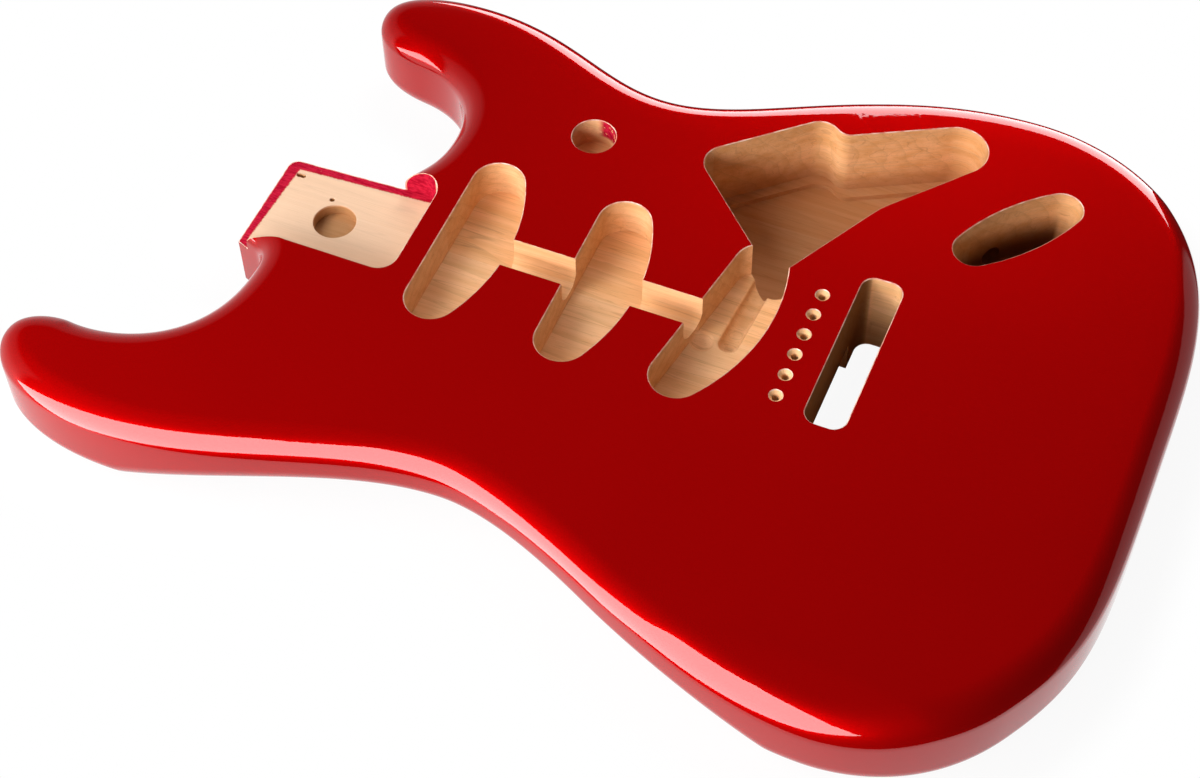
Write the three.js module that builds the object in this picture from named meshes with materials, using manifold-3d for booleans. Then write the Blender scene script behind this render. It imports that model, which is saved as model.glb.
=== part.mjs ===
// The bare body of a double-cutaway electric guitar: edge-glued staves, cut to one outline, rounded
// over, relieved for the player's arm and ribs, and routed for neck, pickups, controls and bridge.
// Millimetres. Everything is measured from the middle of the six bridge screw holes on the front
// face: +X runs to the tail, +Y to the treble side, +Z out of the face. The last lines move that
// point so that the origin lies under the middle of the body, on its back.
import * as THREE from "three";
import { mergeVertices } from "three/addons/utils/BufferGeometryUtils.js";
import Module from "manifold-3d";

// Blank and outline
const body_length = 465.5;
const body_width = 325.7;
const body_thickness = 44.5;
const stave_width = 83;
const centre_seam_offset = 5;
const edge_radius = 12.7;
const edge_run = 3.8;
const outline_spacing = 7;

// Relief for ribs and arm: each is the sweep of a wide drum, sloping down to the bass edge
const belly_drum_radius = 410;
const belly_distance = 107.5;
const belly_depth = 22.2;
const belly_slope = 0.24;
const belly_flank = 130;
const arm_drum_radius = 900;
const arm_distance = 50;
const arm_depth = 5;
const arm_slope = 0.2;
const arm_flank = 163;

// Heel and neck pocket; the setbacks run from the end wall of the pocket towards the mouth
const pocket_length = 74.9;
const pocket_width = 57;
const pocket_offset = -0.3;
const pocket_depth = 15.9;
const pocket_bass_radius = 8.5;
const pocket_treble_radius = 11;
const heel_edge_radius = 3.5;
const heel_corner_radius = 4.8;
const heel_taper = 2.5;
const jig_hole_diameter = 19;
const jig_hole_depth = 6;
const jig_hole_setback = 41.2;
const pin_hole_diameter = 2.4;
const pin_hole_depth = 4;
const pin_hole_setback = 47.8;
const pin_hole_side = 10.5;
const pin_slot_setback = 67;
const pin_slot_side = 18.2;
const pin_slot_length = 4.6;

// Pickup routes, the wire channel that joins them and the groove on to the control cavity
const neck_pickup_distance = 151;
const middle_pickup_distance = 91.7;
const bridge_pickup_distance = 35.1;
const bridge_pickup_angle = 10;
const pickup_half_span = 34.1;
const pickup_end_radius = 11.6;
const pickup_bulge = 19.3;
const pickup_depth = 15.9;
const channel_width = 15;
const channel_depth = 14.6;
const channel_floor_radius = 6;
const groove_width = 12.5;
const groove_depth = 6;
const groove_length = 43;
const groove_lead = 3;
const groove_offset = -2.4;

// Control cavity
const control_depth = 38;
const control_ledge_width = 5;
const control_ledge_height = 2.5;
const control_ledge_angle = -61;
const nose_radius = 5.5;
const bend_radius = 40;
const switch_radius = 13.5;
const hollow_radius = 6.5;
const shoulder_radius = 9;
const corner_radius = 9.8;

// Jack cavity, wire passages and the blind hole by the treble horn
const jack_half_length = 31.6;
const jack_half_width = 12.1;
const jack_end_radius = 9;
const jack_angle = 38.7;
const jack_depth = 34;
const jack_passage_diameter = 9.5;
const jack_passage_height = 16;
const ground_passage_diameter = 4;
const ground_passage_height = 11.2;
const blind_hole_diameter = 19.6;
const blind_hole_depth = 14;

// Bridge screws, block slot and spring cavity
const screw_spread = 56.36;
const screw_count = 6;
const screw_pilot_diameter = 3.2;
const screw_pilot_depth = 22;
const screw_sink_diameter = 5.9;
const screw_sink_depth = 2.2;
const slot_setback = 13.3;
const slot_width = 17.8;
const slot_bass_reach = 35.6;
const slot_treble_reach = 45;
const slot_corner_radius = 6;
const slot_relief = 9;
const slot_relief_depth = 31;
const spring_width = 57.2;
const spring_length = 100;
const spring_depth = 16;
const spring_corner_radius = 6;

const overrun = 4;
const facet_depth = 0.12;
const weld_distance = 0.0001;
const widest_arc_angle = 30;
const rounding_angle = 15;

// Outline anchors, in order round the body with the wood on the left hand: place as shares of
// length and width, heading in degrees, reach of the handles before and after as shares of length,
// and how much of the full edge radius the back edge has there. The heel runs on beyond the mouth
// of the pocket, where it is trimmed square.
const heel_edge_share = heel_edge_radius / edge_radius;
const mouth_share = -0.53383;
const outline_shares = [
  [-0.671, -0.3538, -84.3, 0.0303, 0.0261, 1],
  [-0.5588, -0.4371, -2.9, 0.0699, 0.1222, 1],
  [-0.2421, -0.3463, 0, 0.0952, 0.0576, 0.7],
  [-0.0683, -0.4302, -23.3, 0.0339, 0.0554, 0.65],
  [0.1287, -0.5011, 0, 0.0702, 0.0458, 1],
  [0.2795, -0.3807, 58.1, 0.0778, 0.0995, 1],
  [0.3276, 0.0482, 90, 0.168, 0.0999, 1],
  [0.2619, 0.4182, 132.9, 0.0958, 0.0258, 1],
  [0.1197, 0.4989, 180, 0.073, 0.0752, 1],
  [-0.0397, 0.4486, 201.8, 0.0281, 0.0797, 1],
  [-0.223, 0.3488, 180, 0.0565, 0.0665, 1],
  [-0.4384, 0.4207, 181.4, 0.0991, 0.0603, 1],
  [-0.5286, 0.3534, -90, 0.0247, 0.0275, 1],
  [-0.4714, 0.2941, -7.8, 0.0253, 0.0456, 1],
  [-0.394, 0.1741, -90, 0.0477, 0.0329, 1],
  [-0.411, 0.0933, -118.3, 0.0133, 0.0032, 0.7],
  [-0.4195, 0.0857, 182.7, 0.0032, 0.043, heel_edge_share],
  [-0.5671, 0.0757, 182.7, 0.043, 0.0165, heel_edge_share],
  [-0.5979, 0.0316, -90, 0.0165, 0.0086, heel_edge_share],
  [-0.5979, -0.0157, -90, 0.0086, 0.0122, heel_edge_share],
  [-0.5792, -0.0553, -21.9, 0.0122, 0.0193, heel_edge_share],
  [-0.5113, -0.0943, -21.9, 0.0193, 0.015, 0.4],
  [-0.4967, -0.1578, -95.8, 0.0258, 0.0835, 0.8],
  [-0.6174, -0.2986, 174, 0.038, 0.022, 1],
];

// Control cavity as rounds that a belt goes about: place as shares of length and width, and radius.
// The belt bends inwards at a negative radius, and a radius of zero is a corner with its own ease.
const control_shares = [
  [-0.0511, 0.117, nose_radius],
  [0.01467, 0.25493, 0, bend_radius],
  [0.0586, 0.3902, switch_radius],
  [-0.0447, 0.3813, -hollow_radius],
  [-0.0664, 0.3448, shoulder_radius],
  [-0.1362, 0.2533, corner_radius],
];
const jack_centre_shares = [0.14, 0.2871];
const blind_hole_shares = [-0.2647, 0.2309];
const jack_passage_shares = [0.0516, 0.3531];

const manifold = await Module();
manifold.setup();
const radians = THREE.MathUtils.degToRad;
const quarter_turn = Math.PI / 2;
const back = -body_thickness;
const half_width = body_width / 2;
const last_tilt = quarter_turn - radians(rounding_angle);
const widest_inset = edge_radius * (1 - Math.cos(last_tilt)) + edge_run;
const on_face = ([x, y, ...rest]) => [x * body_length, y * body_width, ...rest];

// Closed geometry as a solid
function solid(geometry) {
  geometry.deleteAttribute("normal");
  geometry.deleteAttribute("uv");
  const welded = mergeVertices(geometry, weld_distance);
  return new manifold.Manifold(
    new manifold.Mesh({
      numProp: 3,
      vertProperties: welded.attributes.position.array,
      triVerts: new Uint32Array(welded.index.array),
    }),
  );
}

// Flat outline raised from one height to another
function raised(outline, low, high) {
  const shape = new THREE.Shape(outline.map(([x, y]) => new THREE.Vector2(x, y)));
  const geometry = new THREE.ExtrudeGeometry(shape, { depth: high - low, bevelEnabled: false });
  return geometry.translate(0, 0, low);
}

// Opening of a given outline, cut from above the front face down to a depth
const routed = (outline, depth) => solid(raised(outline, -depth, overrun));

// Number of straight steps that keep an arc within the facet depth
function arc_steps(radius, turn) {
  const finest = 2 * Math.acos(Math.max(0, 1 - facet_depth / Math.abs(radius)));
  return Math.max(1, Math.ceil(Math.abs(turn) / Math.min(finest, radians(widest_arc_angle))));
}

// Arc walked from one heading through a turn; its centre is on the left, or on the right of a
// negative radius
function arc(x, y, radius, start, turn) {
  const steps = arc_steps(radius, turn);
  return Array.from({ length: steps + 1 }, (_, k) => {
    const heading = start + (turn * k) / steps;
    return [x + radius * Math.sin(heading), y - radius * Math.cos(heading)];
  });
}

// Outline of a belt that runs anticlockwise about rounds, each given as x, y and radius. A round of
// radius zero is a corner, eased either way by the radius that follows it.
function belt(rounds) {
  const headings = rounds.map(([x, y, radius], i) => {
    const [u, v, next_radius] = rounds[(i + 1) % rounds.length];
    const lean = (radius - next_radius) / Math.hypot(u - x, v - y);
    return Math.atan2(v - y, u - x) + Math.asin(THREE.MathUtils.clamp(lean, -1, 1));
  });
  return rounds.flatMap(([x, y, radius, ease], i) => {
    const start = headings[(i + rounds.length - 1) % rounds.length];
    const left_turn = THREE.MathUtils.euclideanModulo(headings[i] - start, 4 * quarter_turn);
    if (ease) {
      const turn = left_turn > 2 * quarter_turn ? left_turn - 4 * quarter_turn : left_turn;
      const [reach, side] = [ease * Math.tan(turn / 2), Math.sign(turn)];
      const centre_x = x - side * (reach * Math.cos(start) + ease * Math.sin(start));
      const centre_y = y - side * (reach * Math.sin(start) - ease * Math.cos(start));
      return arc(centre_x, centre_y, side * ease, start, turn);
    }
    return arc(x, y, radius, start, radius < 0 ? left_turn - 4 * quarter_turn : left_turn);
  });
}

// Rectangle with round corners; the two on the treble side may have their own radius
function rounded_box(low_x, high_x, low_y, high_y, radius, treble_radius = radius) {
  return belt([
    [low_x + radius, low_y + radius, radius],
    [high_x - radius, low_y + radius, radius],
    [high_x - treble_radius, high_y - treble_radius, treble_radius],
    [low_x + treble_radius, high_y - treble_radius, treble_radius],
  ]);
}

// Long opening with round ends and, on the tail side, an arc that runs smoothly into both of them;
// both sides bulge so when asked
function bulged_slot(half_span, end_radius, bulge, both_sides) {
  const rise = bulge - end_radius;
  const drop = (half_span ** 2 - rise ** 2) / (2 * rise);
  const far_side = both_sides ? [[drop, 0, bulge + drop]] : [];
  return belt([
    [0, -half_span, end_radius],
    [-drop, 0, bulge + drop],
    [0, half_span, end_radius],
    ...far_side,
  ]);
}

// Outline turned clockwise by so many degrees about the zero point, and then moved
function placed(outline, slant, x, y) {
  const [c, s] = [Math.cos(radians(slant)), Math.sin(radians(slant))];
  return outline.map(([u, v]) => [x + c * u + s * v, y + c * v - s * u]);
}

// Round hole between two points on its axis
function drilled(diameter, from, to) {
  const radius = diameter / 2;
  const [start, end] = [new THREE.Vector3(...from), new THREE.Vector3(...to)];
  const way = end.clone().sub(start);
  const sides = arc_steps(radius, 4 * quarter_turn);
  const geometry = new THREE.CylinderGeometry(radius, radius, way.length(), sides);
  const upright = new THREE.Vector3(0, 1, 0);
  geometry.applyQuaternion(
    new THREE.Quaternion().setFromUnitVectors(upright, way.clone().normalize()),
  );
  return solid(geometry.translate(...start.addScaledVector(way, 1 / 2)));
}

// Round hole drilled straight down from one height to another
const sunk = (diameter, x, y, high, low) => drilled(diameter, [x, y, low], [x, y, high]);

// The two reliefs, and the depth that one takes off a face: the drum's sweep slopes down towards
// the bass edge and reaches its stated depth at the stated distance from the middle
const belly = {
  radius: belly_drum_radius,
  centre: -belly_distance,
  depth: belly_depth,
  slope: belly_slope,
  flank: belly_flank,
};
const arm = {
  radius: arm_drum_radius,
  centre: arm_distance,
  depth: arm_depth,
  slope: arm_slope,
  flank: arm_flank,
};
function relief_depth(x, y, { radius, centre, depth, slope, flank }) {
  const sag = radius - Math.sqrt(Math.max(0, radius ** 2 - (x - centre) ** 2));
  return Math.max(0, depth - slope * (y + flank) - sag);
}
const face_height = (side) => (side > 0 ? 0 : back);

// Solid that a relief takes off the front, at side 1, or the back, at side -1: the drum's arc drawn
// out across the bass half and sheared along the slope
function relief_cut(side, { radius, centre, depth, slope, flank }) {
  const lift = depth + slope * (half_width - flank) + overrun;
  const half_turn = Math.acos(Math.max(0, 1 - lift / radius));
  const profile = arc(centre, side * radius, side * radius, -side * half_turn, 2 * side * half_turn);
  const level = face_height(side) - side * (depth - slope * flank);
  const sheared = new THREE.Matrix4().set(
    1, 0, 0, 0,
    0, 0, -1, 0,
    0, 1, -side * slope, level,
    0, 0, 0, 1,
  );
  return solid(raised(profile, 0, half_width + overrun).applyMatrix4(sheared));
}

// Samples along the outline: place, inward direction, the radius of the back edge there, and the
// room for an edge. That follows the largest round that touches the outline there and stays inside
// it, and shrinks faster than it where the whole edge no longer fits.
function outline_samples() {
  const samples = outline_shares.flatMap((from, i) => {
    const to = outline_shares[(i + 1) % outline_shares.length];
    const [[x, y, heading, , reach, share], [u, v, end_heading, end_reach, , end_share]] = [from, to];
    const way = (angle, length) =>
      new THREE.Vector2(Math.cos(radians(angle)), Math.sin(radians(angle))).multiplyScalar(length);
    const start = new THREE.Vector2(x * body_length, y * body_width);
    const end = new THREE.Vector2(u * body_length, v * body_width);
    const curve = new THREE.CubicBezierCurve(
      start,
      start.clone().add(way(heading, reach * body_length)),
      end.clone().sub(way(end_heading, end_reach * body_length)),
      end,
    );
    const turn = Math.abs(THREE.MathUtils.euclideanModulo(end_heading - heading + 180, 360) - 180);
    const steps = Math.ceil(Math.max(curve.getLength() / outline_spacing, turn / rounding_angle));
    return Array.from({ length: steps }, (_, k) => {
      const place = curve.getPoint(k / steps);
      const heading_here = curve.getTangent(k / steps);
      const blend = THREE.MathUtils.smoothstep(k / steps, 0, 1);
      return {
        place,
        inward: new THREE.Vector2(-heading_here.y, heading_here.x),
        back_radius: edge_radius * THREE.MathUtils.lerp(share, end_share, blend),
      };
    });
  });
  return samples.map((sample) => {
    const ways = samples.map(({ place }) => place.clone().sub(sample.place));
    const rounds = ways
      .filter((way) => way.dot(sample.inward) > 0)
      .map((way) => way.lengthSq() / (2 * way.dot(sample.inward)));
    const room = Math.min(...rounds);
    return { ...sample, room: Math.max(2 * room - widest_inset, room / 2) };
  });
}

// The blank with both edges rounded over, following the reliefs; its rims stand clear of the two
// faces, which are cut afterwards
function rounded_block() {
  const samples = outline_samples();
  const tilts = Array.from({ length: 90 / rounding_angle }, (_, k) => radians(k * rounding_angle));
  const ring = (side, inset_of, drop_of) =>
    samples.map(({ place, inward, back_radius, room }) => {
      const radius = side > 0 ? edge_radius : back_radius;
      const spot = place.clone().addScaledVector(inward, Math.min(room, inset_of(radius)));
      const cut = relief_depth(spot.x, spot.y, side > 0 ? arm : belly);
      return [spot.x, spot.y, face_height(side) - side * (cut + drop_of(radius))];
    });
  const rings_of = (side) => {
    const rim_inset = (radius) => radius * (1 - Math.cos(last_tilt)) + edge_run;
    const rim = ring(side, rim_inset, (radius) =>
      radius * (1 - Math.sin(last_tilt)) - edge_run / Math.tan(last_tilt));
    const cap = rim.map(([x, y]) => [x, y, face_height(side) + side * overrun]);
    const rounds = tilts.map((tilt) =>
      ring(side, (radius) => radius * (1 - Math.cos(tilt)), (radius) => radius * (1 - Math.sin(tilt))),
    );
    return [...rounds, rim, cap];
  };
  const rings = [...rings_of(1).reverse(), ...rings_of(-1)];
  const count = samples.length;
  const cap_faces = (k) =>
    THREE.ShapeUtils.triangulateShape(rings[k].map(([x, y]) => new THREE.Vector2(x, y)), [])
      .map((face) => face.map((corner) => k * count + corner));
  const faces = [...cap_faces(0), ...cap_faces(rings.length - 1).map((face) => face.reverse())];
  for (let k = 1; k < rings.length; k++) {
    for (let i = 0; i < count; i++) {
      const [above, below, next] = [(k - 1) * count, k * count, (i + 1) % count];
      faces.push([above + i, below + i, below + next], [above + i, below + next, above + next]);
    }
  }
  const geometry = new THREE.BufferGeometry();
  geometry.setAttribute("position", new THREE.Float32BufferAttribute(rings.flat(2), 3));
  geometry.setIndex(faces.flat());
  return solid(geometry);
}

// Box from the back face to the front one between two distances from the middle
function slab(low_y, high_y, low_z, high_z) {
  const [low_x, high_x] = [-body_length, body_length];
  const outline = [[low_x, low_y], [high_x, low_y], [high_x, high_y], [low_x, high_y]];
  return solid(raised(outline, low_z, high_z));
}

// Neck pocket, with the heel trimmed square at its mouth, and the holes in its floor
const mouth = mouth_share * body_length;
const pocket_end = mouth + pocket_length;
const pocket_bass = pocket_offset - pocket_width / 2;
const pocket_treble = pocket_offset + pocket_width / 2;
const heel_treble = pocket_treble - heel_taper;
const trim_outline = [
  [-body_length, -pocket_width],
  [mouth, -pocket_width],
  ...arc(
    mouth + heel_corner_radius,
    heel_treble - heel_corner_radius,
    -heel_corner_radius,
    quarter_turn,
    -quarter_turn,
  ),
  [mouth + heel_corner_radius, pocket_width],
  [-body_length, pocket_width],
];
const trim_edge = [
  [mouth - overrun, back - overrun],
  [mouth + heel_edge_radius, back - overrun],
  ...arc(
    mouth + heel_edge_radius,
    back + heel_edge_radius,
    -heel_edge_radius,
    2 * quarter_turn,
    -quarter_turn,
  ),
  [mouth - overrun, back + heel_edge_radius],
];
const pocket_outline = rounded_box(
  mouth - pocket_width,
  pocket_end,
  pocket_bass,
  pocket_treble,
  pocket_bass_radius,
  pocket_treble_radius,
);
const pin_slot_radius = pin_hole_diameter / 2;
const pin_slot_rounds = [-1, 1].map((end) => [
  pocket_end - pin_slot_setback + end * (pin_slot_length / 2 - pin_slot_radius),
  pin_slot_side,
  pin_slot_radius,
]);
const heel_cuts = [
  solid(raised(trim_outline, back - overrun, overrun)),
  solid(raised(trim_edge, -pocket_width, pocket_width).rotateX(quarter_turn)),
  routed(pocket_outline, pocket_depth),
  routed(belt(pin_slot_rounds.reverse()), pocket_depth + pin_hole_depth),
  sunk(
    jig_hole_diameter,
    pocket_end - jig_hole_setback,
    pocket_offset,
    0,
    -pocket_depth - jig_hole_depth,
  ),
  sunk(
    pin_hole_diameter,
    pocket_end - pin_hole_setback,
    pin_hole_side,
    0,
    -pocket_depth - pin_hole_depth,
  ),
];

// Pickup routes, wire channel and groove
const pickup_outline = bulged_slot(pickup_half_span, pickup_end_radius, pickup_bulge, false);
const groove_rounds = [-groove_lead, groove_length - groove_lead].map((along) => [
  groove_offset,
  along,
  groove_width / 2,
]);
const channel_profile = rounded_box(
  -channel_width / 2,
  channel_width / 2,
  -channel_depth,
  overrun + channel_floor_radius,
  channel_floor_radius,
);
const along_body = new THREE.Matrix4().set(
  0, 0, 1, 0,
  1, 0, 0, 0,
  0, 1, 0, 0,
  0, 0, 0, 1,
);
const pickup_cuts = [
  routed(placed(pickup_outline, 0, -neck_pickup_distance, 0), pickup_depth),
  routed(placed(pickup_outline, 0, -middle_pickup_distance, 0), pickup_depth),
  routed(placed(pickup_outline, bridge_pickup_angle, -bridge_pickup_distance, 0), pickup_depth),
  routed(
    placed(belt(groove_rounds), bridge_pickup_angle, -bridge_pickup_distance, 0),
    pickup_depth + groove_depth,
  ),
  solid(
    raised(channel_profile, -neck_pickup_distance, -bridge_pickup_distance).applyMatrix4(along_body),
  ),
];

// Control cavity with the low ledge at the foot of its treble wall
const control_outline = belt(control_shares.map(on_face));
const ledge_way = radians(control_ledge_angle);
const ledge_outline = control_outline.map(([x, y]) => [
  x + control_ledge_width * Math.cos(ledge_way),
  y + control_ledge_width * Math.sin(ledge_way),
]);
const control_cuts = [
  routed(control_outline, control_depth - control_ledge_height),
  routed(control_outline, control_depth).intersect(routed(ledge_outline, control_depth)),
];

// Jack cavity, passages and blind hole
const jack_centre = on_face(jack_centre_shares);
const jack_outline = placed(
  bulged_slot(jack_half_length - jack_end_radius, jack_end_radius, jack_half_width, true),
  jack_angle,
  ...jack_centre,
);
const jack_passage_level = back + jack_passage_height;
const ground_passage_level = back + ground_passage_height;
const [nose_x, nose_y] = on_face(control_shares[0]);
const jack_cuts = [
  routed(jack_outline, jack_depth),
  drilled(
    jack_passage_diameter,
    [...on_face(jack_passage_shares), jack_passage_level],
    [...jack_centre, jack_passage_level],
  ),
  drilled(
    ground_passage_diameter,
    [nose_x, nose_y, ground_passage_level],
    [nose_x, spring_width / 2 - spring_corner_radius, ground_passage_level],
  ),
  sunk(blind_hole_diameter, ...on_face(blind_hole_shares), overrun, -blind_hole_depth),
];

// Bridge screws, block slot with its relief towards the tail, and spring cavity in the back
const slot_end = slot_setback + slot_width;
const screws = Array.from(
  { length: screw_count },
  (_, i) => screw_spread * (i / (screw_count - 1) - 1 / 2),
);
const slot_sides = [-slot_bass_reach, slot_treble_reach, slot_corner_radius];
const bridge_cuts = [
  ...screws.flatMap((y) => [
    sunk(screw_sink_diameter, 0, y, overrun, -screw_sink_depth),
    sunk(screw_pilot_diameter, 0, y, 0, -screw_pilot_depth),
  ]),
  solid(raised(rounded_box(slot_setback, slot_end, ...slot_sides), back - overrun, overrun)),
  solid(
    raised(
      rounded_box(slot_setback, slot_end + slot_relief, ...slot_sides),
      back - overrun,
      back + slot_relief_depth,
    ),
  ),
  solid(
    raised(
      rounded_box(
        slot_end - spring_length,
        slot_end,
        -spring_width / 2,
        spring_width / 2,
        spring_corner_radius,
      ),
      back - overrun,
      back + spring_depth,
    ),
  ),
];

const cuts = [
  relief_cut(1, arm),
  relief_cut(-1, belly),
  ...heel_cuts,
  ...pickup_cuts,
  ...control_cuts,
  ...jack_cuts,
  ...bridge_cuts,
];
const body = cuts.reduce(
  (wood, cut) => wood.subtract(cut),
  rounded_block().intersect(slab(-body_width, body_width, back, 0)),
);

// The staves, from the bass edge to the treble edge, glued face to face
const seams = [-1, 0, 1].map((k) => centre_seam_offset + k * stave_width);
const staves = {
  stave_bass_edge: [-body_width, seams[0], 0xd9a878],
  stave_bass: [seams[0], seams[1], 0xe0b284],
  stave_treble: [seams[1], seams[2], 0xd6a472],
  stave_treble_edge: [seams[2], body_width, 0xdcae80],
};
const part = new THREE.Group();
for (const [name, [low, high, color]] of Object.entries(staves)) {
  const made = body.intersect(slab(low, high, back - overrun, overrun)).getMesh();
  const geometry = new THREE.BufferGeometry();
  geometry.setAttribute("position", new THREE.BufferAttribute(made.vertProperties, made.numProp));
  geometry.setIndex(new THREE.BufferAttribute(made.triVerts, 1));
  const mesh = new THREE.Mesh(geometry, new THREE.MeshStandardMaterial({ color, roughness: 0.6 }));
  mesh.name = name;
  part.add(mesh);
}

// The origin goes under the middle of the body
const { min, max } = body.boundingBox();
part.position.set(-(min[0] + max[0]) / 2, -(min[1] + max[1]) / 2, -min[2]);
const root = new THREE.Group();
root.add(part);
export default root;
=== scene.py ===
import math

import bmesh
import bpy
import numpy as np
from mathutils import Matrix, Vector
from mathutils.bvhtree import BVHTree
from mathutils.geometry import delaunay_2d_cdt


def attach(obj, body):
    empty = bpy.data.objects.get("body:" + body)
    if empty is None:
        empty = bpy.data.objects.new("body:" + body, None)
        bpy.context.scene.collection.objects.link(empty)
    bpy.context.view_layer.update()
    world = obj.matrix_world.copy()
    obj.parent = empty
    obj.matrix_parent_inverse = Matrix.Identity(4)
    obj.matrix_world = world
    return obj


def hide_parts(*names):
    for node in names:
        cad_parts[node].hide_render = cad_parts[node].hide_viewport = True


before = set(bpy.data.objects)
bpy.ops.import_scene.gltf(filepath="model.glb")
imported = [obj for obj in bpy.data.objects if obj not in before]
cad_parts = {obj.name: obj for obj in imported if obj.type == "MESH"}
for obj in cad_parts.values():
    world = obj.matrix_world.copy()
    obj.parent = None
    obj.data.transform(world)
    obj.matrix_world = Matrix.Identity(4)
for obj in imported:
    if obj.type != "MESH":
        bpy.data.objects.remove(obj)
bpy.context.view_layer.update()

# ---------------------------------------------------------------- sizes
# Millimetres, measured from the middle of the six bridge screw holes on the front face: +X to the
# tail, +Y to the treble side, +Z out of the face. SHIFT takes that point to the model's own frame.
MM = 0.001
LENGTH, WIDTH, THICK = 465.5, 325.7, 44.5
SHIFT = np.array([79.904, 0.358, 44.5])
FIT = np.array([0.9996, 1, 1])  # holds the fine outline inside the solids' coarser one
EDGE_R = 12.7  # rounded edges
HEEL_R = 3.5  # the same round the back of the heel
COAT = 0.35  # thickness of the lacquer
FLARE = 0.4  # easing of the routes' lips
RINGS = 18  # rings of faces in one rounded edge
STEP = 2.0  # spacing of points along the outline
OVER = 4.0  # how far a cutter runs past a face
FAR = 57  # how far the neck pocket and the heel's trims run past the mouth
TOUCH = 0.00002  # metres within which a point lies on the unbroken blank

# Outline anchors: place as shares of length and width, heading, reach of the handles before and
# after as shares of length, and the back edge's share of the full radius
OUTLINE = [
    (-0.671, -0.3538, -84.3, 0.0303, 0.0261, 1), (-0.5588, -0.4371, -2.9, 0.0699, 0.1222, 1),
    (-0.2421, -0.3463, 0, 0.0952, 0.0576, 0.7), (-0.0683, -0.4302, -23.3, 0.0339, 0.0554, 0.65),
    (0.1287, -0.5011, 0, 0.0702, 0.0458, 1), (0.2795, -0.3807, 58.1, 0.0778, 0.0995, 1),
    (0.3276, 0.0482, 90, 0.168, 0.0999, 1), (0.2619, 0.4182, 132.9, 0.0958, 0.0258, 1),
    (0.1197, 0.4989, 180, 0.073, 0.0752, 1), (-0.0397, 0.4486, 201.8, 0.0281, 0.0797, 1),
    (-0.223, 0.3488, 180, 0.0565, 0.0665, 1), (-0.4384, 0.4207, 181.4, 0.0991, 0.0603, 1),
    (-0.5286, 0.3534, -90, 0.0247, 0.0275, 1), (-0.4714, 0.2941, -7.8, 0.0253, 0.0456, 1),
    (-0.394, 0.1741, -90, 0.0477, 0.0329, 1), (-0.411, 0.0933, -118.3, 0.0133, 0.0032, 0.7),
    (-0.4195, 0.0857, 182.7, 0.0032, 0.043, HEEL_R / EDGE_R),
    (-0.5671, 0.0757, 182.7, 0.043, 0.0165, HEEL_R / EDGE_R),
    (-0.5979, 0.0316, -90, 0.0165, 0.0086, HEEL_R / EDGE_R),
    (-0.5979, -0.0157, -90, 0.0086, 0.0122, HEEL_R / EDGE_R),
    (-0.5792, -0.0553, -21.9, 0.0122, 0.0193, HEEL_R / EDGE_R),
    (-0.5113, -0.0943, -21.9, 0.0193, 0.015, 0.4), (-0.4967, -0.1578, -95.8, 0.0258, 0.0835, 0.8),
    (-0.6174, -0.2986, 174, 0.038, 0.022, 1),
]
# The reliefs: depth at x = centre and y = -flank, less by slope across the body and by an arc of
# the radius along it
ARM = dict(radius=900, centre=50, depth=5, slope=0.2, flank=163)
BELLY = dict(radius=410, centre=-107.5, depth=22.2, slope=0.24, flank=130)
SEAMS = (-78, 5, 88)  # y of the glue lines
STAVES = ("stave_bass_edge", "stave_bass", "stave_treble", "stave_treble_edge")
MOUTH = -248.5  # x of the heel's end
PICKUP_DEPTH = 19.0
POCKET = dict(end=-173.6, low=-28.8, high=28.2, depth=15.9, bass_r=8.5, treble_r=11)
HEEL_INSET, HEEL_CORNER = 2.5, 4.8  # the heel's treble corner at the mouth
# The cutter's rounded marks in the bridge route's floor; SLIVER is half their width at the bottom
SLIVER = 0.1
TROUGH = dict(start=(-31.8, 3.5), end=(-29.6, 38.0), radius=4.2, bottom=-23.8, eased=1.3)
DIMPLE = dict(at=(-42.8, 0.3), ball=6.5, bottom=-21.8)


# ---------------------------------------------------------------- outline and blank
def on(x, y):
    """Place given as shares of length and width."""
    return x * LENGTH, y * WIDTH


def heading(degrees):
    return np.array([math.cos(math.radians(degrees)), math.sin(math.radians(degrees))])


def outline(step=STEP):
    """Samples along the outline: place, inward direction, back edge radius."""
    place, inward, radius = [], [], []
    for i, a in enumerate(OUTLINE):
        b = OUTLINE[(i + 1) % len(OUTLINE)]
        p0, p3 = np.array(on(*a[:2])), np.array(on(*b[:2]))
        p1, p2 = p0 + heading(a[2]) * a[4] * LENGTH, p3 - heading(b[2]) * b[3] * LENGTH
        turn = abs((b[2] - a[2] + 180) % 360 - 180)
        n = max(3, math.ceil(np.linalg.norm(p3 - p0) * 1.05 / step), math.ceil(turn / 6))
        for k in range(n):
            t = k / n
            p = (1 - t) ** 3 * p0 + 3 * t * (1 - t) ** 2 * p1 + 3 * t * t * (1 - t) * p2 + t ** 3 * p3
            d = (1 - t) ** 2 * (p1 - p0) + 2 * t * (1 - t) * (p2 - p1) + t * t * (p3 - p2)
            d /= np.linalg.norm(d)
            s = t * t * (3 - 2 * t)
            place.append(p)
            inward.append((-d[1], d[0]))
            radius.append(EDGE_R * (a[5] + (b[5] - a[5]) * s))
    return np.array(place), np.array(inward), np.array(radius)


def relief(xy, r, soft=0.5):
    """Depth that a relief takes off a face, with a sanded, soft start."""
    sag = r["radius"] - np.sqrt(np.maximum(0, r["radius"] ** 2 - (xy[:, 0] - r["centre"]) ** 2))
    d = r["depth"] - r["slope"] * (xy[:, 1] + r["flank"]) - sag
    return (d + np.sqrt(d * d + soft * soft)) / 2


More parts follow.
